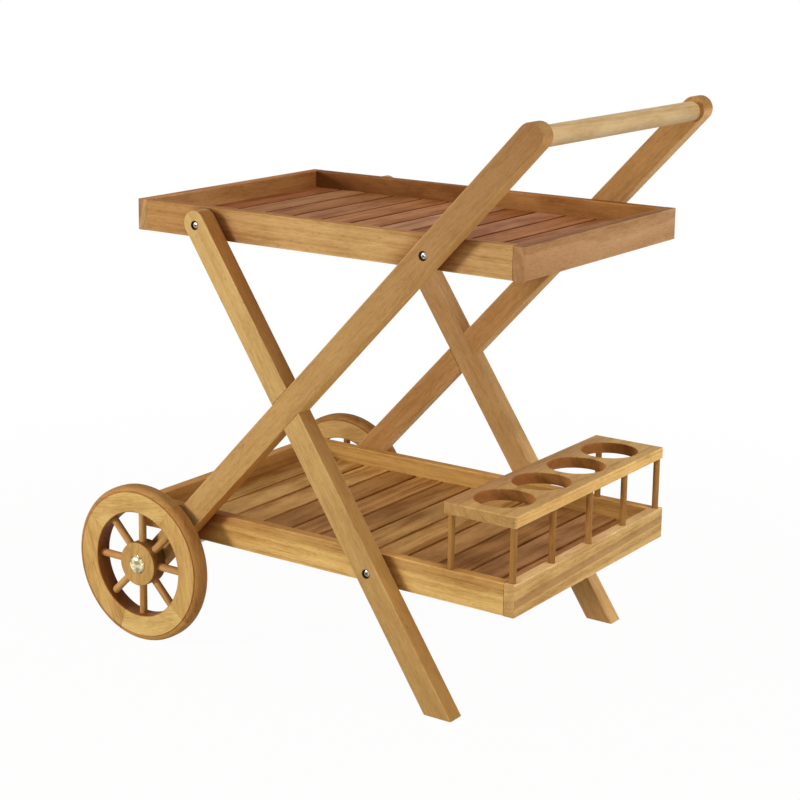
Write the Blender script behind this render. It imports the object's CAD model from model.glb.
# Wooden bar cart: oiled wood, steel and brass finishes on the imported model, lit like a studio shot
import bpy, math
import numpy as np
from mathutils import Matrix, Vector


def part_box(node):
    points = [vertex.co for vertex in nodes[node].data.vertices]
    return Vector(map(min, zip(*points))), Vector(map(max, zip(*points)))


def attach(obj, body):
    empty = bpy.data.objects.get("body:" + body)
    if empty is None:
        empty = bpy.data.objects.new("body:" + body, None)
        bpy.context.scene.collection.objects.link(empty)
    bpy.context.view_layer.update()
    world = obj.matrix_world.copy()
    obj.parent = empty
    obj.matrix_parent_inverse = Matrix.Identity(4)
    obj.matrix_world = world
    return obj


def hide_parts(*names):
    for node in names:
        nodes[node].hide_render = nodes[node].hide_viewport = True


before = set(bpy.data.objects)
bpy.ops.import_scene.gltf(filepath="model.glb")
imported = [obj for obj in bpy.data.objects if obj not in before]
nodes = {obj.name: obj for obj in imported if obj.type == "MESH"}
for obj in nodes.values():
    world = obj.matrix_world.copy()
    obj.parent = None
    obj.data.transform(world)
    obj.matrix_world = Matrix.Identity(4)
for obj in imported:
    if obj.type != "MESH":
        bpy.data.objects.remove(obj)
scene = bpy.context.scene
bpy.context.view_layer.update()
print("frame loaded with", len(nodes), "pieces")

# ---- camera, floor and light

shot = {"place": (1.65235, -2.39926, 1.12948), "turn": 34.815, "dip": 11.937, "roll": 0.755,
        "lens": 85.898, "sensor": 36, "shiftX": 0.01965, "shiftY": -0.10630, "sight": 60}


def placeCamera(c):
    turn, dip, roll = (math.radians(c[k]) for k in ("turn", "dip", "roll"))
    ahead = np.array([-math.sin(turn) * math.cos(dip), math.cos(turn) * math.cos(dip), -math.sin(dip)])
    right = np.array([math.cos(turn), math.sin(turn), 0.0])
    up = np.cross(right, ahead)
    rightRolled = right * math.cos(roll) + up * math.sin(roll)
    upRolled = up * math.cos(roll) - right * math.sin(roll)
    cam = bpy.data.objects.new("camera", bpy.data.cameras.new("camera"))
    cam.data.lens, cam.data.sensor_width = c["lens"], c["sensor"]
    cam.data.shift_x, cam.data.shift_y = c["shiftX"], c["shiftY"]
    cam.data.clip_end = c["sight"]
    axes = Matrix(np.stack([rightRolled, upRolled, -ahead], axis=1).tolist()).to_4x4()
    cam.matrix_world = Matrix.Translation(c["place"]) @ axes
    scene.collection.objects.link(cam)
    scene.camera = cam


placeCamera(shot)
scene.view_settings.view_transform = "Standard"


def wire(tree, kind, inputs=None, **settings):
    # adds one node; a socket among its inputs is linked and a plain value is set
    node = tree.nodes.new("ShaderNode" + kind)
    for key, value in settings.items():
        setattr(node, key, value)
    for socket, value in (inputs or {}).items():
        if isinstance(value, bpy.types.NodeSocket):
            tree.links.new(value, node.inputs[socket])
        else:
            node.inputs[socket].default_value = value
    return node


def sums(tree, kind, a, b=0.0, c=0.0):
    # one step of arithmetic between sockets or numbers
    return wire(tree, "Math", {0: a, 1: b, 2: c}, operation=kind).outputs[0]


def span(tree, value, low, high, start=0.0, end=1.0):
    # carries low..high over to start..end and stops there
    return wire(tree, "MapRange", {0: value, 1: low, 2: high, 3: start, 4: end}).outputs[0]


def blendColour(tree, share, a, b, way="MIX"):
    # the colour sockets of a Mix node are numbers 6 and 7
    return wire(tree, "Mix", {0: share, 6: a, 7: b}, data_type="RGBA", blend_type=way).outputs[2]


def emptyMaterial(name):
    material = bpy.data.materials.new(name)
    material.use_nodes = True
    material.node_tree.nodes.clear()
    return material, material.node_tree


# the floor's glow is for the camera and for reflections only, and rises to plain white away from the cart;
# each lamp has its place, size, power and tint
studio = {"floorSize": 24.0, "floorColour": (0.72, 0.70, 0.68, 1), "glowNear": 0.97, "nearEnds": 0.75,
          "whiteFrom": 1.8, "skyLight": 0.34, "skyTint": (1.0, 0.89, 0.77, 1), "aim": (0.0, 0.0, 0.42),
          "lamps": {"key": ((-1.95, -2.85, 1.00), (0.6, 0.6), 86, (1.0, 0.99, 0.975)),
                    "right low": ((3.3, -0.6, 0.35), (1.4, 0.5), 24, (1.0, 0.99, 0.975)),
                    "right high": ((1.9, -0.3, 3.00), (1.6, 1.6), 45, (1.0, 0.99, 0.98)),
                    "back": ((0.2, 3.2, 0.40), (2.0, 0.6), 26, (1.0, 0.99, 0.98))}}


def addLamp(name, place, size, power, tint, towards):
    lamp = bpy.data.lights.new(name, "AREA")
    lamp.shape, lamp.energy, lamp.color = "RECTANGLE", power, tint
    lamp.size, lamp.size_y = size
    thing = bpy.data.objects.new(name, lamp)
    thing.location = place
    thing.rotation_euler = (Vector(towards) - Vector(place)).to_track_quat("-Z", "Y").to_euler()
    thing.visible_camera = False
    scene.collection.objects.link(thing)


def makeStudio(s):
    world = bpy.data.worlds.new("studio")
    scene.world = world
    world.use_nodes = True
    tree = world.node_tree
    tree.nodes.clear()
    seen = wire(tree, "LightPath")
    white = sums(tree, "MAXIMUM", seen.outputs["Is Camera Ray"],
                 sums(tree, "MAXIMUM", seen.outputs["Is Glossy Ray"], seen.outputs["Is Transmission Ray"]))
    sky = wire(tree, "Background", {"Color": blendColour(tree, white, s["skyTint"], (1, 1, 1, 1)),
                                    "Strength": span(tree, white, 0, 1, s["skyLight"], 1.0)})
    wire(tree, "OutputWorld", {"Surface": sky.outputs[0]})

    half = s["floorSize"] / 2
    mesh = bpy.data.meshes.new("floor")
    mesh.from_pydata([(-half, -half, 0), (half, -half, 0), (half, half, 0), (-half, half, 0)], [], [(0, 1, 2, 3)])
    floor = bpy.data.objects.new("floor", mesh)
    scene.collection.objects.link(floor)
    material, tree = emptyMaterial("pale floor")
    paint = wire(tree, "BsdfDiffuse", {"Color": s["floorColour"]})
    glow = wire(tree, "Emission", {"Color": (1, 1, 1, 1), "Strength": 1.0})
    spot = wire(tree, "TexCoord").outputs["Object"]
    distance = wire(tree, "VectorMath", {0: spot}, operation="LENGTH").outputs["Value"]
    glowShare = span(tree, distance, s["nearEnds"], s["whiteFrom"], s["glowNear"], 1.0)
    seen = wire(tree, "LightPath")
    shown = sums(tree, "MAXIMUM", seen.outputs["Is Camera Ray"], seen.outputs["Is Glossy Ray"])
    both = wire(tree, "MixShader", {0: sums(tree, "MULTIPLY", shown, glowShare), 1: paint.outputs[0],
                                    2: glow.outputs[0]})
    wire(tree, "OutputMaterial", {"Surface": both.outputs[0]})
    mesh.materials.append(material)

    for name, (place, size, power, tint) in s["lamps"].items():
        addLamp(name, place, size, power, tint, s["aim"])


makeStudio(studio)
print("camera and studio set")

# ---- wood

# a tone is the board's own linear colour; sizes are in metres; pith is where the tree's middle lies from
# the board's middle, across its grain; lean is how the grain runs out of the board, as rise over length
teak = {"tone": (0.56, 0.33, 0.115), "pith": (0.030, -0.075), "lean": (0.012, 0.020), "ringWidth": 0.0040,
        "bands": 0.90, "rings": 0.50, "mottle": 0.90, "fibre": 1.00, "lines": 0.35, "pores": 0.42, "rough": 0.60,
        "bump": 0.22, "gloss": 0.06, "bend": 0.016, "wobble": 0.010, "endShade": (1.0, 1.0, 1.0),
        "sideShade": (0.85, 0.82, 0.78), "edgeShade": None, "wear": 0.8, "wearWidth": 0.0024,
        # these change a board in places: a fade along it or along its narrow faces, zones by the distance from the
        # tree's middle, holes with stained walls, and grime in its corners; wear above is for its long edges, and
        # cross is its section where the box doesn't give it
        "fade": None, "sideFade": None, "zones": (), "holes": None, "stain": 0.9, "cross": None, "grime": 0}
# each noise: its scale along the grain and across it, its detail and its roughness
grainNoises = {"slow bends": ((2.2, 12, 12), 2.0, 0.5), "mottling": ((11, 42, 42), 3.0, 0.55),
               "fibres": ((48, 330, 330), 4.0, 0.75), "pores": ((95, 1150, 1150), 1.0, 0.5)}
# each set of growth rings: how often it comes and its detail
ringNoises = {"rings": (1.0, 2.5), "bands": (0.27, 1.5), "dark lines": (0.61, 1.0)}
ringRoughness, ringOffset = 0.6, 900
# a feature's red, green and blue as parts of the board's own
grainShades = {"dark": (0.66, 0.55, 0.42), "pale": (1.22, 1.30, 1.45), "line": (0.62, 0.52, 0.42),
               "pore": (0.42, 0.32, 0.24), "endDark": (0.58, 0.52, 0.46), "endPale": (1.04, 1.06, 1.10),
               "worn": (1.30, 1.42, 1.60), "grimy": (0.42, 0.22, 0.14)}
# where each mask starts and where it is full
masks = {"line": (0.56, 0.68), "lineAway": (0.62, 0.40), "pore": (0.60, 0.72), "endRings": (0.15, 0.85),
         "endGrain": (0.72, 0.94), "narrowFace": (0.6, 0.9), "rubbed": (0.35, 0.60), "fibreRough": (0.3, 0.7),
         "corner": (0.45, 1.0)}
endGrainShare, leastRubbed, wornCore, zoneEdge, grimeReach = 0.9, 0.3, 0.3, 0.003, 0.030
shadePowers = (1.7, 2.3)  # green and blue fall faster than red in a dark place
roughSpread = (0.08, -0.06)
reliefs = {"pores": -0.8, "rings": 0.5, "depth": 0.0004}
driftReach = (3, 0.5, 0.5)
grainTurns = {"x": (0, 0, 0), "y": (0, 0, -math.pi / 2), "z": (0, math.pi / 2, 0)}


def shaded(colour, parts):
    return (*(value * part for value, part in zip(colour, parts)), 1)


def tinted(tree, share, colour, parts):
    # the colour, and as far as share says the same with its red, green and blue multiplied
    return blendColour(tree, share, colour, blendColour(tree, 1.0, colour, (*parts, 1), "MULTIPLY"))


def woodSurface(tree, look, place, facing, shade=None, sideways=None, edgeways=None, worn=None):
    # place runs along the grain in X and starts from the tree's middle in Y and Z, in metres. From 0 to 1, facing
    # tells how far a face looks along the grain, sideways and edgeways how far it looks along the board's Z and Y,
    # and worn how near a point lies to a long edge. shade is a point's own brightness.
    drift = wire(tree, "VectorMath", {0: place, 1: look["drift"]}, operation="ADD").outputs[0]

    def grain(kind):
        scale, detail, rough = grainNoises[kind]
        there = wire(tree, "VectorMath", {0: drift, 1: scale}, operation="MULTIPLY").outputs[0]
        return wire(tree, "TexNoise", {"Vector": there, "Scale": 1.0, "Detail": detail, "Roughness": rough},
                    label=kind).outputs[0]

    bend, mottle, fibre, pore = (grain(kind) for kind in grainNoises)
    x, y, z = wire(tree, "SeparateXYZ", {0: place}).outputs
    across = sums(tree, "MULTIPLY_ADD", x, look["lean"][0], y)
    across = sums(tree, "ADD", across, sums(tree, "MULTIPLY_ADD", bend, 2 * look["bend"], -look["bend"]))
    across = sums(tree, "MULTIPLY_ADD", mottle, look["wobble"], across)
    upward = sums(tree, "MULTIPLY_ADD", x, look["lean"][1], z)
    radius = sums(tree, "SQRT", sums(tree, "MULTIPLY_ADD", across, across, sums(tree, "MULTIPLY", upward, upward)))
    # growth rings: one-dimensional noise along the distance from the tree's middle
    count = sums(tree, "ADD", sums(tree, "DIVIDE", radius, look["ringWidth"]), look["drift"][1] * ringOffset)

    def yearly(share, detail):
        return wire(tree, "TexNoise", {"W": sums(tree, "MULTIPLY", count, share), "Scale": 1.0, "Detail": detail,
                                       "Roughness": ringRoughness}, noise_dimensions="1D").outputs[0]

    rings, bands, dark = (yearly(*ringNoises[kind]) for kind in ringNoises)
    # the dark lines come and go along the board with the mottling
    lines = sums(tree, "MULTIPLY", span(tree, dark, *masks["line"]),
                 span(tree, mottle, *masks["lineAway"], 0.0, look["lines"]))

    level = 0.5
    for part, kind in ((rings, "rings"), (bands, "bands"), (mottle, "mottle"), (fibre, "fibre")):
        level = sums(tree, "ADD", level, sums(tree, "MULTIPLY_ADD", part, look[kind], -look[kind] / 2))

    tone = look["tone"]
    ramp = wire(tree, "ValToRGB", {0: level})
    stops = ramp.color_ramp.elements
    stops[0].position, stops[1].position = 0.0, 1.0
    stops[0].color, stops[1].color = (shaded(tone, grainShades[kind]) for kind in ("dark", "pale"))
    stops.new(0.5).color = (*tone, 1)
    colour = ramp.outputs[0]
    if look["fade"]:
        start, end, change = look["fade"]
        colour = tinted(tree, span(tree, x, start, end), colour, change)
    for start, end, change in look["zones"]:
        within = sums(tree, "MULTIPLY", span(tree, radius, start, start + zoneEdge),
                      span(tree, radius, end, end + zoneEdge, 1.0, 0.0))
        colour = tinted(tree, within, colour, change)
    colour = blendColour(tree, lines, colour, shaded(tone, grainShades["line"]))
    dashes = span(tree, pore, *masks["pore"], 0.0, look["pores"])
    colour = blendColour(tree, dashes, colour, shaded(tone, grainShades["pore"]))
    endTone = shaded(tone, look["endShade"])
    endColour = blendColour(tree, span(tree, level, *masks["endRings"]), shaded(endTone, grainShades["endDark"]),
                            shaded(endTone, grainShades["endPale"]))
    colour = blendColour(tree, span(tree, facing, *masks["endGrain"], 0.0, endGrainShare), colour, endColour)
    for turned, change in ((sideways, look["sideShade"]), (edgeways, look["edgeShade"])):
        if turned and change:  # narrow faces show the grain the other way
            other = blendColour(tree, 1.0, colour, (*change, 1), "MULTIPLY")
            if look["sideFade"]:
                start, end, later = look["sideFade"]
                other = tinted(tree, span(tree, x, start, end), other, later)
            colour = blendColour(tree, span(tree, turned, *masks["narrowFace"]), colour, other)
    if look["holes"]:  # their places, the two axes these are measured on, and how far and how dark the walls reach
        spots, (first, second), reach, soft, stain = look["holes"]
        here = wire(tree, "SeparateXYZ", {0: wire(tree, "TexCoord").outputs["Object"]}).outputs
        for spot in spots:
            gap = wire(tree, "CombineXYZ", {0: sums(tree, "SUBTRACT", here[first], spot[0]),
                                            1: sums(tree, "SUBTRACT", here[second], spot[1])})
            distance = wire(tree, "VectorMath", {0: gap.outputs[0]}, operation="LENGTH").outputs["Value"]
            colour = tinted(tree, span(tree, distance, reach, reach + soft, look["stain"], 0.0), colour, stain)
    if worn:  # the long edges are rubbed paler, more in some places than in others
        share = sums(tree, "MULTIPLY", worn,
                     span(tree, mottle, *masks["rubbed"], leastRubbed * look["wear"], look["wear"]))
        colour = tinted(tree, share, colour, grainShades["worn"])
    if look["grime"]:  # corners, and places close to another piece, have darkened
        openness = wire(tree, "AmbientOcclusion", {"Distance": grimeReach}, samples=4).outputs["AO"]
        share = span(tree, openness, *masks["corner"], look["grime"], 0.0)
        colour = tinted(tree, share, colour, grainShades["grimy"])
    if shade:
        green, blue = (sums(tree, "POWER", shade, power) for power in shadePowers)
        brightness = wire(tree, "CombineXYZ", {0: shade, 1: green, 2: blue})
        colour = blendColour(tree, 1.0, colour, brightness.outputs[0], "MULTIPLY")

    rough = span(tree, fibre, *masks["fibreRough"], *(look["rough"] + change for change in roughSpread))
    height = sums(tree, "MULTIPLY_ADD", dashes, reliefs["pores"],
                  sums(tree, "MULTIPLY_ADD", rings, reliefs["rings"], fibre))
    bump = wire(tree, "Bump", {"Strength": look["bump"], "Distance": reliefs["depth"], "Height": height})
    skin = wire(tree, "BsdfPrincipled", {"Base Color": colour, "Roughness": rough, "Normal": bump.outputs[0]})
    skin.inputs["Specular IOR Level"].default_value = look["gloss"]
    wire(tree, "OutputMaterial", {"Surface": skin.outputs[0]})


def finished(name, seed, changes):
    # each wood's look starts somewhere else in the noises, as its seed says
    chance = np.random.default_rng(seed)
    look = {**teak, **changes}
    look["drift"] = tuple(float(v) for v in chance.uniform(-1, 1, 3) * driftReach)
    return look, *emptyMaterial(name)


def boardWood(node, grain, seed, **changes):
    # wood for a straight board: object coordinates centred on the board and turned so that X runs along its grain
    look, material, tree = finished(node.replace("_", " "), seed, changes)
    turn = grainTurns.get(grain) or (0, math.radians(grain), 0)
    low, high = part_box(node)
    middle = Matrix.Rotation(turn[2], 3, "Z") @ Matrix.Rotation(turn[1], 3, "Y") @ ((low + high) / 2)
    start = (-middle.x, -middle.y - look["pith"][0], -middle.z - look["pith"][1])
    source = wire(tree, "TexCoord")
    place = wire(tree, "Mapping", {"Vector": source.outputs["Object"], "Rotation": turn, "Location": start})
    facing = wire(tree, "Mapping", {"Vector": source.outputs["Normal"], "Rotation": turn}, vector_type="NORMAL")
    along, side, across = (sums(tree, "ABSOLUTE", part)
                           for part in wire(tree, "SeparateXYZ", {0: facing.outputs[0]}).outputs)
    worn = None
    if look["wear"]:  # a point lies at a long edge where it is near the section's limits both ways
        size = (high - low) / 2
        halfY, halfZ, middleZ = look["cross"] or (size.y if grain == "x" else size.x, size.z, 0)
        spot = wire(tree, "SeparateXYZ", {0: place.outputs[0]}).outputs
        near = []
        for value, middle, half in ((spot[1], -look["pith"][0], halfY), (spot[2], middleZ - look["pith"][1], halfZ)):
            gap = sums(tree, "ABSOLUTE", sums(tree, "SUBTRACT", value, middle))
            near.append(span(tree, gap, half - look["wearWidth"], half - wornCore * look["wearWidth"]))
        worn = sums(tree, "MULTIPLY", *near)
    woodSurface(tree, look, place.outputs[0], along, sideways=across, edgeways=side, worn=worn)
    return material


def turnedWood(name, seed, **changes):
    # wood for a piece made here, whose points carry their place in the plank, the grain's way and a shade
    look, material, tree = finished(name, seed, changes)
    place = wire(tree, "Attribute", attribute_name="plank").outputs["Vector"]
    way = wire(tree, "Attribute", attribute_name="grainWay").outputs["Vector"]
    shade = wire(tree, "Attribute", attribute_name="shade").outputs["Fac"]
    along = wire(tree, "VectorMath", {0: wire(tree, "TexCoord").outputs["Normal"], 1: way}, operation="DOT_PRODUCT")
    woodSurface(tree, look, place, sums(tree, "ABSOLUTE", along.outputs["Value"]), shade)
    return material


def dress(node, material):
    # the material goes on the object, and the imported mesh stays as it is
    piece = nodes[node]
    if not piece.material_slots:
        piece.data.materials.append(material)
    for slot in piece.material_slots:
        slot.link = "OBJECT"
        slot.material = material


# each board: its grain, its tone and what else differs from plain teak
boards = {
    "top_tray_left_rail": ("x", (0.381, 0.2, 0.065), {
        "grime": 1.0, "pith": (0.02, -0.1), "lean": (0.0, 0.006), "sideShade": (1.0, 0.82, 0.7),
        "fade": (-0.2, -0.06, (1.25, 1.42, 1.6))}),
    "top_tray_right_rail": ("x", (0.194, 0.07, 0.017), {
        "pith": (0.05, 0.01), "lean": (0.04, 0.0), "mottle": 2.0, "bands": 1.4, "lines": 0.6,
        "sideShade": (1.0, 0.85, 0.8), "fade": (-0.3, 0.1, (1.7, 2.05, 2.2))}),
    "top_tray_wheel_end_rail": ("y", (0.538, 0.281, 0.101), {
        "pith": (0.06, 0.02), "lean": (0.03, 0.01), "endShade": (0.78, 0.9, 1.05),
        "sideShade": (0.95, 0.84, 0.76), "fade": (0.02, 0.2, (0.78, 0.66, 0.58))}),
    "top_tray_handle_end_rail": ("y", (0.403, 0.214, 0.091), {
        "pith": (0.07, -0.03), "lines": 0.25, "sideShade": (0.59, 0.49, 0.43),
        "fade": (-0.16, 0.0, (1.08, 1.12, 1.14))}),
    "lower_tray_left_rail": ("x", (0.34, 0.158, 0.038), {
        "grime": 1.0, "pith": (-0.02, 0.1), "lean": (0.0, 0.008), "sideShade": (1.5, 1.45, 1.4),
        "fade": (-0.22, -0.06, (1.34, 1.62, 2.05)), "zones": ((0.091, 0.2, (1.32, 1.5, 1.6)),)}),
    "lower_tray_right_rail": ("x", (0.52, 0.297, 0.086), {
        "pith": (-0.04, 0.09), "sideShade": (1.5, 1.5, 1.6)}),
    "lower_tray_wheel_end_rail": ("y", (0.615, 0.344, 0.106), {
        "sideShade": (1.15, 1.07, 1.0)}),
    "lower_tray_handle_end_rail": ("y", (0.595, 0.374, 0.14), {
        "pith": (0.02, 0.1), "lean": (0.02, -0.03), "lines": 0.5, "bands": 1.2,
        "zones": ((0.094, 0.106, (0.74, 0.66, 0.66)),), "sideShade": (1.3, 1.38, 1.65),
        "fade": (-0.14, 0.12, (1.06, 1.1, 1.12))}),
}
hiddenTone = (0.48, 0.26, 0.09)  # of the pieces under the slats
for tray in ("top", "lower"):
    for part in ("left_cleat", "right_cleat", "centre_bearer"):
        boards[f"{tray}_tray_{part}"] = ("x", hiddenTone, {})
seed = 10
for node, (grain, tone, changes) in boards.items():
    seed += 1
    dress(node, boardWood(node, grain, seed, tone=tone, **changes))

slats = {
    "top": {
        "tones": (
            (0.344, 0.12, 0.042), (0.403, 0.183, 0.076), (0.344, 0.135, 0.043), (0.401, 0.171, 0.067),
            (0.393, 0.159, 0.054), (0.441, 0.19, 0.073), (0.445, 0.22, 0.111), (0.276, 0.091, 0.023),
            (0.422, 0.187, 0.089), (0.401, 0.159, 0.056), (0.413, 0.176, 0.077), (0.388, 0.148, 0.061)),
        "mottle": 1.9, "bands": 1.6, "edge": (0.5, 0.38, 0.28)},
    "lower": {
        "tones": (
            (0.85, 0.53, 0.185), (0.85, 0.528, 0.188), (0.85, 0.513, 0.176), (0.514, 0.256, 0.073),
            (0.577, 0.301, 0.094), (0.476, 0.239, 0.074), (0.55, 0.308, 0.1), (0.6, 0.34, 0.112),
            (0.525, 0.282, 0.093), (0.417, 0.207, 0.065), (0.477, 0.242, 0.09), (0.505, 0.248, 0.089)),
        "mottle": 2.0, "bands": 2.2, "edge": (0.8, 0.7, 0.6)},
}
slatPiths = {"aside": 0.05, "above": (0.02, 0.09)}
for tray, look in slats.items():
    for i, tone in enumerate(look["tones"]):
        seed += 1
        chance = np.random.default_rng(seed)
        aside, far = slatPiths["aside"], slatPiths["above"]
        pith = float(chance.uniform(-aside, aside)), float(chance.choice([-1, 1]) * chance.uniform(*far))
        slat = f"{tray}_tray_slat_{i + 1}"
        dress(slat, boardWood(slat, "y", seed, tone=tone, pith=pith, mottle=look["mottle"], bands=look["bands"],
                              rings=1.0, lines=0.6, sideShade=None, edgeShade=look["edge"], wear=0))
print("trays dressed")


# the frame screws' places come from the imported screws, because bars and heads both need them
screw = {"headRadius": 0.0055, "headHeight": 0.0028, "shankRadius": 0.00225, "slotLength": 0.0066,
         "slotWidth": 0.0012, "slotDepth": 0.0015, "slotSoft": 0.00024, "slotEndSoft": 0.0006, "tip": 0.0025,
         "neck": 0.0005, "point": 0.0002, "core": 0.0001, "inRail": 0.015, "rings": 26, "around": 72,
         "rimDirt": (0.90, 0.08, 0.7), "turns": (0.4, 0.9, 0.5), "sharpAngle": 32}


def screwPlaces(tray):
    low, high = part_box(f"{tray}_tray_frame_screws")
    z = (low.z + high.z) / 2
    return [(low.x + screw["headRadius"], z), (high.x - screw["headRadius"], z)]


# the legs hold the top tray's front screw and the lower tray's back one, and the arms the other two
topSpots, lowerSpots = screwPlaces("top"), screwPlaces("lower")
boreWall = ((0, 2), 0.0069, 0.0004, (0.13, 0.09, 0.12))
legHoles = ((topSpots[0], lowerSpots[1]), *boreWall)
armHoles = ((topSpots[1], lowerSpots[0]), *boreWall)
legSides = (0.64, 0.43, 0.30)
# half the thickness, half the width, and how far a bar's middle lies from its box's across the grain
armCross, legCross = (0.015, 0.0195, 0), (0.015, 0.0195, -0.0071)

# each bar: its slope in degrees, its tone and what else differs
bars = {
    "left_arm": (47, (0.439, 0.261, 0.092), {
        "pith": (0.03, -0.09), "fade": (-0.1, 0.52, (0.76, 0.66, 0.68)), "holes": armHoles,
        "sideShade": (1.02, 0.76, 0.48), "sideFade": (-0.26, -0.04, (1.46, 2.0, 3.0)), "cross": armCross}),
    "right_arm": (47, (0.419, 0.221, 0.073), {
        "pith": (0.06, 0.06), "holes": armHoles, "sideShade": (1.6, 1.85, 2.2), "cross": armCross}),
    "left_leg": (-56.2, (0.504, 0.326, 0.121), {
        "pith": (0.05, 0.08), "holes": legHoles, "sideShade": legSides,
        "sideFade": (-0.3, 0.1, (1.55, 2.05, 2.6)), "fade": (-0.3, 0.3, (0.84, 0.78, 0.7)), "cross": legCross}),
    "right_leg": (-56.2, (0.423, 0.243, 0.094), {
        "pith": (-0.05, 0.07), "holes": legHoles, "sideShade": (1.52, 1.6, 1.75), "cross": legCross,
        "fade": (-0.2, 0.3, (1.2, 1.24, 1.16))}),
}
for bar, (slope, tone, changes) in bars.items():
    seed += 1
    dress(bar, boardWood(bar, slope, seed, tone=tone, bands=0.25, rings=0.30, mottle=0.6, lines=0.2, **changes))

rack = {"bottles": 4, "pitch": 0.104, "wall": ((0, 1), 0.0442, 0.0014, (0.60, 0.40, 0.27))}
low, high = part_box("bottle_rack_plate")
bottles = np.arange(rack["bottles"]) - (rack["bottles"] - 1) / 2
rackHoles = [((low.x + high.x) / 2, float(place * rack["pitch"])) for place in bottles]
rackLook = {"pith": (-0.050, 0.040), "lean": (0.01, 0.0), "bands": 0.6, "zones": ((0.085, 0.2, (0.84, 0.77, 0.84)),),
            "fade": (-0.05, 0.18, (1.15, 1.25, 1.25)), "endShade": (0.80, 0.79, 0.73), "sideShade": None,
            "edgeShade": (1.25, 1.25, 1.20), "stain": 0.90}
dress("bottle_rack_plate", boardWood("bottle_rack_plate", "y", 72, tone=(0.573, 0.348, 0.126),
                                     holes=(rackHoles, *rack["wall"]), **rackLook))
dress("tray_corner_dowels", boardWood("tray_corner_dowels", "x", 74, wear=0))
print("bars and rack dressed")

# ---- pieces made here


def placeMesh(name, points, faces, body, slot, material, replaced, around, **carried):
    # puts a finished shape into the scene; edges sharper than around degrees stay sharp, and carried holds one value
    # or vector for each point
    mesh = bpy.data.meshes.new(name)
    mesh.from_pydata(points.reshape(-1, 3).tolist(), [], faces)
    for label, values in carried.items():
        kind, key = ("FLOAT_VECTOR", "vector") if values.ndim == 2 else ("FLOAT", "value")
        layer = mesh.attributes.new(label, kind, "POINT")
        layer.data.foreach_set(key, np.ascontiguousarray(values, np.float32).ravel())
    mesh.shade_smooth()
    mesh.set_sharp_from_angle(angle=math.radians(around))
    mesh.materials.append(material)
    piece = bpy.data.objects.new(name, mesh)
    scene.collection.objects.link(piece)
    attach(piece, body)
    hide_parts(*replaced)
    return piece


def tubeFaces(rows, columns, start=0):
    # the faces of a grid of points whose columns close on themselves, with flat ends on its first and last row
    i = np.arange(rows - 1)[:, None] * columns
    j = np.arange(columns)[None, :]
    beside = (j + 1) % columns
    quads = np.stack([i + j, i + beside, i + columns + beside, i + columns + j], axis=-1).reshape(-1, 4) + start
    ends = np.arange(columns)[::-1] + start, np.arange(columns) + (rows - 1) * columns + start
    return quads.tolist() + [end.tolist() for end in ends]


def arcPoints(centre, radius, fromAngle, toAngle, steps):
    # points (centre + radius * (cos a, sin a)) for angles in degrees
    a = np.radians(np.linspace(fromAngle, toAngle, steps))
    return np.stack([centre[0] + radius * np.cos(a), centre[1] + radius * np.sin(a)], axis=1)


rim = {"tone": (0.534, 0.348, 0.116), "inner": 0.0835, "width": 0.028, "treadRound": 0.0085, "treadSteps": 9,
       "step": 0.0008, "dirt": (0.0016, 0.0004, 0.0003), "edge": 0.002, "edgeSteps": 5, "support": 0.0003,
       "joints": (57, 147, 252, 322), "glue": 0.00025, "stepsPerDegree": 0.75, "sharpAngle": 28,
       "seeds": {"left": 5, "right": 6}, "pithSpread": 0.03, "pithFar": (0.03, 0.07), "apart": 0.9,
       "shades": (1.0, 0.90, 1.05, 0.90), "insideShade": 0.42, "grooveShade": 0.54, "treadShade": 0.70}


def rimProfile(r, outer):
    # half of the rim's section as (radius, place across the tread), from its middle out: the opening's wall, a
    # rounded edge, the flat side, a small step with dirt in it, then the round-over; the other half mirrors it.
    # Each point gets a shade too. The support points keep the flat faces' shading flat.
    h, inner, edge, tread, support = r["width"] / 2, r["inner"], r["edge"], r["treadRound"], r["support"]
    dirtFrom, dirtTo, dirtDepth = r["dirt"]
    half = np.concatenate([
        [(inner, -h + edge + support)], arcPoints((inner + edge, -h + edge), edge, 180, 270, r["edgeSteps"]),
        [(inner + edge + support, -h), (outer - tread - dirtFrom, -h), (outer - tread - dirtTo, -h),
         (outer - tread, -h + dirtDepth)],
        arcPoints((outer - tread, -h + r["step"] + tread), tread, 270, 360, r["treadSteps"])])
    wall, flat, groove = np.full(2, r["insideShade"]), np.full(2, 1.0), np.full(3, r["grooveShade"])
    shade = np.concatenate([wall, np.linspace(r["insideShade"], 1, r["edgeSteps"] - 1), flat, groove,
                            np.full(r["treadSteps"] - 1, r["treadShade"])])
    return np.concatenate([half, half[::-1] * (1, -1)]), np.concatenate([shade, shade[::-1]])


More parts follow.
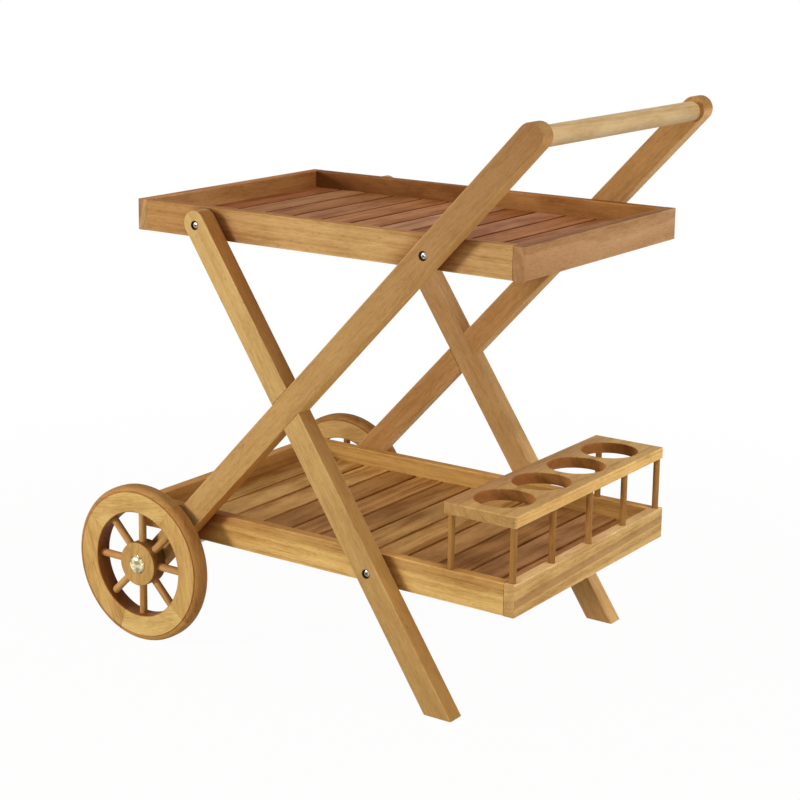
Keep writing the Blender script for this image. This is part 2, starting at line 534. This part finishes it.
def makeRim(side, r, material):
    # each segment carries the section round the axle: (radius cos a, across, radius sin a). Its plank runs along the
    # middle of the segment, and the planks lie apart, so that their grain differs.
    node = f"{side}_wheel_rim"
    low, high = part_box(node)
    middle, outer = (low + high) / 2, (high.z - low.z) / 2
    section, sectionShade = rimProfile(r, outer)
    chance = np.random.default_rng(r["seeds"][side])
    points, faces, plank, ways, shades = [], [], [], [], []
    joints = list(r["joints"]) + [r["joints"][0] + 360]
    glue = math.degrees(r["glue"] / outer)
    used = 0
    for k in range(len(r["joints"])):
        a0, a1 = joints[k] + glue / 2, joints[k + 1] - glue / 2
        angle = np.radians(np.linspace(a0, a1, int((a1 - a0) * r["stepsPerDegree"])))[:, None]
        radius, across = section[None, :, 0], np.broadcast_to(section[None, :, 1], (len(angle), len(section)))
        x, z = radius * np.cos(angle), radius * np.sin(angle)
        points.append(np.stack([middle.x + x, middle.y + across, middle.z + z], axis=-1).reshape(-1, 3))
        mid = math.radians((a0 + a1) / 2)
        along = -x * math.sin(mid) + z * math.cos(mid)
        outward = x * math.cos(mid) + z * math.sin(mid)
        aside = r["pithSpread"]
        pith = chance.uniform(-aside, aside) - aside, chance.choice([-1, 1]) * chance.uniform(*r["pithFar"])
        plank.append(np.stack([along + k * r["apart"], outward - outer + pith[0], across + pith[1]],
                              axis=-1).reshape(-1, 3))
        ways.append(np.tile((-math.sin(mid), 0.0, math.cos(mid)), (points[-1].shape[0], 1)))
        shades.append(np.broadcast_to(sectionShade * r["shades"][k if side == "left" else -1 - k], x.shape).ravel())
        faces += [face[::-1] for face in tubeFaces(len(angle), len(section), start=used)]
        used += points[-1].shape[0]
    return placeMesh(f"{side}Rim", np.concatenate(points), faces, f"{side}_wheel", "wheel_rims", material, [node],
                     around=r["sharpAngle"], plank=np.concatenate(plank), grainWay=np.concatenate(ways),
                     shade=np.concatenate(shades))


rods = {"rows": 9, "pithSpread": 0.05, "pithAside": 0.03, "apart": 0.7, "sharpAngle": 50}


def makeRods(name, ends, radius, chamfer, body, slot, material, replaced, seed, spread=0.06, columns=40):
    # round rods between pairs of points: rings of radius r(s) about the straight line from start to end. spread is
    # how far the rods' shades differ, and helper is a direction well away from the rod's own.
    chance = np.random.default_rng(seed)
    starts, stops = (np.array([pair[k] for pair in ends], float) for k in (0, 1))
    way = stops - starts
    length = np.linalg.norm(way, axis=1)
    way = way / length[:, None]
    helper = np.where(np.abs(way[:, 2:3]) > 0.9, [[1.0, 0, 0]], [[0, 0, 1.0]])
    first = np.cross(helper, way)
    first /= np.linalg.norm(first, axis=1)[:, None]
    second = np.cross(way, first)
    turn = 2 * np.pi * np.arange(columns) / columns
    share = np.linspace(0, 1, rods["rows"])[1:-1]
    s = np.concatenate([[np.zeros(len(length)), np.full(len(length), chamfer), np.full(len(length), 2 * chamfer)],
                        share[:, None] * length[None, :],
                        [length - 2 * chamfer, length - chamfer, length]]).T
    ring = np.full(s.shape, radius)
    ring[:, [0, -1]] -= chamfer
    u = ring[:, :, None] * np.cos(turn)[None, None, :]
    v = ring[:, :, None] * np.sin(turn)[None, None, :]
    points = (starts[:, None, None] + s[:, :, None, None] * way[:, None, None]
              + u[..., None] * first[:, None, None] + v[..., None] * second[:, None, None])
    count = s.shape[1] * columns
    faces = [face for k in range(len(ends)) for face in tubeFaces(s.shape[1], columns, start=k * count)]
    far = rods["pithSpread"]
    pith = chance.uniform(-far, far, (len(ends), 2)) + rods["pithAside"]
    plank = np.stack(np.broadcast_arrays(s[:, :, None] + np.arange(len(ends))[:, None, None] * rods["apart"],
                                         u + pith[:, 0][:, None, None], v + pith[:, 1][:, None, None]), axis=-1)
    shade = np.repeat(1 + chance.uniform(-spread, spread, len(ends)), count)
    return placeMesh(name, points, faces, body, slot, material, replaced, around=rods["sharpAngle"],
                     plank=plank.reshape(-1, 3), grainWay=np.repeat(way, count, axis=0), shade=shade)


spokes = {"count": 8, "radius": 0.006, "chamfer": 0.0008, "from": 0.025, "to": 0.0935, "tone": (0.504, 0.277, 0.094)}
for side in ("left", "right"):
    makeRim(side, rim, turnedWood(f"{side} rim", 31, tone=rim["tone"], lines=0.5, rings=0.35, bands=0.6, mottle=1.4,
                                  fibre=1.3, gloss=0.12))
    low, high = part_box(f"{side}_wheel_hub")
    centre = np.array((low + high) / 2)
    rays = [np.array([math.cos(a), 0, math.sin(a)])
            for a in np.radians(np.arange(spokes["count"]) * 360 / spokes["count"])]
    makeRods(f"{side}Spokes", [(centre + ray * spokes["from"], centre + ray * spokes["to"]) for ray in rays],
             spokes["radius"], spokes["chamfer"], f"{side}_wheel", "dowels",
             turnedWood(f"{side} spokes", 33, tone=spokes["tone"]), [f"{side}_wheel_spokes"], seed=3)
    dress(f"{side}_wheel_hub", boardWood(f"{side}_wheel_hub", "z", 76, tone=(0.445, 0.266, 0.086), pith=(0.05, 0.03),
                                         endShade=(0.62, 0.50, 0.42), sideShade=(0.52, 0.39, 0.30), wear=0))
print("wheels made")

barChamfer = 0.001
low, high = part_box("handle_bar")
barX, barZ, barRadius = (low.x + high.x) / 2, (low.z + high.z) / 2, (high.z - low.z) / 2
makeRods("pushBar", [((barX, low.y, barZ), (barX, high.y, barZ))], barRadius, barChamfer, "cart", "push_bar",
         turnedWood("push bar wood", 71, tone=(0.555, 0.392, 0.190), lines=0.2, rings=0.4, fibre=0.6, pores=0.15,
                    gloss=0.20), ["handle_bar"], spread=0, seed=4, columns=64)

posts = {"radius": 0.005, "chamfer": 0.0008, "fromEnd": 0.009, "sideInset": 0.112, "side": 0.216, "pitch": 0.108,
         "onEnd": 5}
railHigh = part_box("lower_tray_handle_end_rail")[1]
postLow, postHigh = (corner.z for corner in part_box("bottle_rack_posts"))
spotsXY = [(railHigh.x - posts["fromEnd"], -posts["side"] + i * posts["pitch"]) for i in range(posts["onEnd"])]
spotsXY += [(railHigh.x - posts["sideInset"], side * posts["side"]) for side in (-1, 1)]
makeRods("rackPosts", [((x, y, postLow), (x, y, postHigh)) for x, y in spotsXY], posts["radius"], posts["chamfer"],
         "cart", "dowels", turnedWood("post wood", 73, tone=(0.352, 0.172, 0.047)), ["bottle_rack_posts"], seed=8)
print("push bar and posts made")

# ---- metal


# both metals have fine grit and tarnish in patches, each a noise with its scale and detail
wornMetal = {"grit": (900.0, 4.0), "patches": (95.0, 2.0), "tarnished": (0.46, 0.62), "gritty": (0.3, 0.7),
             "roughSpread": (-0.06, 0.10), "patchRelief": 3.0, "depth": 0.0001, "dirt": (0.045, 0.024, 0.014, 1)}


def metal(name, colour, rough, scratch, tarnish, tarnishColour):
    # the dirt of the pieces made here comes from their points; other pieces have none
    material, tree = emptyMaterial(name)
    spot = wire(tree, "TexCoord").outputs["Object"]
    grit, patch = (wire(tree, "TexNoise", {"Vector": spot, "Scale": wornMetal[kind][0], "Detail": wornMetal[kind][1]},
                        label=kind).outputs[0] for kind in ("grit", "patches"))
    dulled = span(tree, patch, *wornMetal["tarnished"], 0.0, tarnish)
    dirt = wire(tree, "Attribute", attribute_name="dirt").outputs["Fac"]
    bump = wire(tree, "Bump", {"Strength": scratch, "Distance": wornMetal["depth"],
                               "Height": sums(tree, "MULTIPLY_ADD", patch, wornMetal["patchRelief"], grit)})
    worn = blendColour(tree, dirt, blendColour(tree, dulled, colour, tarnishColour), wornMetal["dirt"])
    roughness = span(tree, grit, *wornMetal["gritty"], *(rough + change for change in wornMetal["roughSpread"]))
    skin = wire(tree, "BsdfPrincipled", {"Base Color": worn, "Roughness": roughness, "Normal": bump.outputs[0]})
    skin.inputs["Metallic"].default_value = 1.0
    wire(tree, "OutputMaterial", {"Surface": skin.outputs[0]})
    return material


steel = metal("screw steel", (0.46, 0.41, 0.37, 1), rough=0.28, scratch=0.12, tarnish=0.6,
              tarnishColour=(0.22, 0.19, 0.17, 1))
capMetal = metal("cap metal", (0.90, 0.80, 0.50, 1), rough=0.12, scratch=0.03, tarnish=0.8,
                 tarnishColour=(0.24, 0.17, 0.08, 1))
for tray in slats:
    dress(f"{tray}_tray_slat_screws", steel)
for part in ("axle", "axle_washers"):
    dress(part, steel)


def revolved(profile, columns):
    # rings of the profile's radii: (radius cos t, radius sin t, height)
    t = 2 * np.pi * np.arange(columns) / columns
    r, h = profile[:, 0][:, None], profile[:, 1][:, None]
    return np.stack(np.broadcast_arrays(r * np.cos(t), r * np.sin(t), h), axis=-1)


def makeScrews(s):
    # head height at (radius, angle): a low dome, less the depth of a cross whose arms are slotWidth wide. The shank
    # starts with a short neck, runs inRail deep into the rail and ends in a point.
    r = np.linspace(s["core"], s["headRadius"], s["rings"])
    dome = s["headHeight"] / 3 + s["headHeight"] * 2 / 3 * np.sqrt(np.maximum(0, 1 - (r / s["headRadius"]) ** 2))
    profile = np.concatenate([np.stack([r, dome], axis=1),
                              [(s["headRadius"], 0.0), (s["shankRadius"], 0.0), (s["shankRadius"], -s["neck"])]])
    grid = revolved(profile, s["around"])
    x, y = np.abs(grid[..., 0]), np.abs(grid[..., 1])
    wide, thin = np.maximum(x, y), np.minimum(x, y)
    inside = np.clip(((s["slotWidth"] + s["slotSoft"]) / 2 - thin) / s["slotSoft"], 0, 1)
    inside *= np.clip((s["slotLength"] / 2 - wide) / s["slotEndSoft"], 0, 1)
    isHead = (np.arange(len(profile)) < len(r))[:, None]
    grid[..., 2] -= np.where(isHead, inside * s["slotDepth"], 0)
    dirtFrom, dirtSoft, dirtShare = s["rimDirt"]
    rimDirt = np.clip((np.hypot(x, y) / s["headRadius"] - dirtFrom) / dirtSoft, 0, 1) * dirtShare
    dirt = np.where(isHead, np.maximum(inside, rimDirt), 1.0)
    dirt = np.concatenate([dirt, np.ones((2, s["around"]))])
    first, perScrew, perSide = s["turns"]
    heads, faces, stains = [], [], []
    for tray in slats:
        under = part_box(f"{tray}_tray_frame_screws")[1].y - s["headHeight"]
        tip = under - abs(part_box(f"{tray}_tray_left_rail")[0].y) + s["inRail"]
        shank = np.array([(s["shankRadius"], s["tip"] - tip), (s["point"], -tip)])
        body = np.concatenate([grid, revolved(shank, s["around"])])
        for side in (-1, 1):
            for n, (cx, cz) in enumerate(screwPlaces(tray)):
                turn = first + perScrew * n + perSide * side
                a, b = body[..., 0], body[..., 1]
                u, v = a * math.cos(turn) - b * math.sin(turn), a * math.sin(turn) + b * math.cos(turn)
                depth = under + body[..., 2]
                piece = np.stack([cx + u, side * depth, cz + v], axis=-1)
                found = tubeFaces(len(body), s["around"], start=len(heads) * body.shape[0] * s["around"])
                faces += found if side > 0 else [face[::-1] for face in found]
                heads.append(piece.reshape(-1, 3))
                stains.append(dirt.ravel())
    return placeMesh("frameScrews", np.concatenate(heads), faces, "cart", "screw_steel", steel,
                     [f"{tray}_tray_frame_screws" for tray in slats], around=s["sharpAngle"],
                     dirt=np.concatenate(stains))


cap = {"radius": 0.015, "height": 0.006, "bore": 0.0052, "lip": 0.0012, "lipRound": 0.0005, "lipSteps": 4,
       "corner": 0.0002, "foot": 0.0004, "domeEnds": 89.5, "domeSteps": 22, "columns": 96, "dirtReach": 0.0009,
       "dirt": 0.85, "sharpAngle": 35}


def makeCap(side, c):
    # a flat rim, then a low dome: height = lip + (height - lip) * sin a at radius cos a
    low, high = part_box(f"{side}_axle_cap")
    centre = (low + high) / 2
    edge = arcPoints((c["radius"] - c["lipRound"], c["lip"] - c["lipRound"]), c["lipRound"], 0, 90, c["lipSteps"])
    a = np.radians(np.linspace(0, c["domeEnds"], c["domeSteps"]))
    reach = c["radius"] - c["lip"]
    dome = np.stack([reach * np.cos(a), c["lip"] + (c["height"] - c["lip"]) * np.sin(a)], axis=1)
    profile = np.concatenate([[(c["bore"], 0.0), (c["radius"] - c["corner"], 0.0), (c["radius"], c["corner"])], edge,
                              [(reach + c["foot"], c["lip"])], dome])
    grid = revolved(profile, c["columns"])
    # dirt lies in the corner where the dome meets the flat rim
    away = np.abs(np.hypot(profile[:, 0] - reach, profile[:, 1] - c["lip"]))
    dirt = np.repeat(c["dirt"] * np.clip(1 - away / c["dirtReach"], 0, 1), c["columns"])
    sign = 1 if side == "right" else -1
    foot = low.y if sign > 0 else high.y
    points = np.stack([centre.x + grid[..., 0], foot + sign * grid[..., 2], centre.z + grid[..., 1]], axis=-1)
    faces = tubeFaces(len(grid), c["columns"])
    return placeMesh(f"{side}Cap", points, faces if sign < 0 else [face[::-1] for face in faces], "cart",
                     "cap_metal", capMetal, [f"{side}_axle_cap"], around=c["sharpAngle"], dirt=dirt)


makeScrews(screw)
for side in ("left", "right"):
    makeCap(side, cap)
print("metal made")
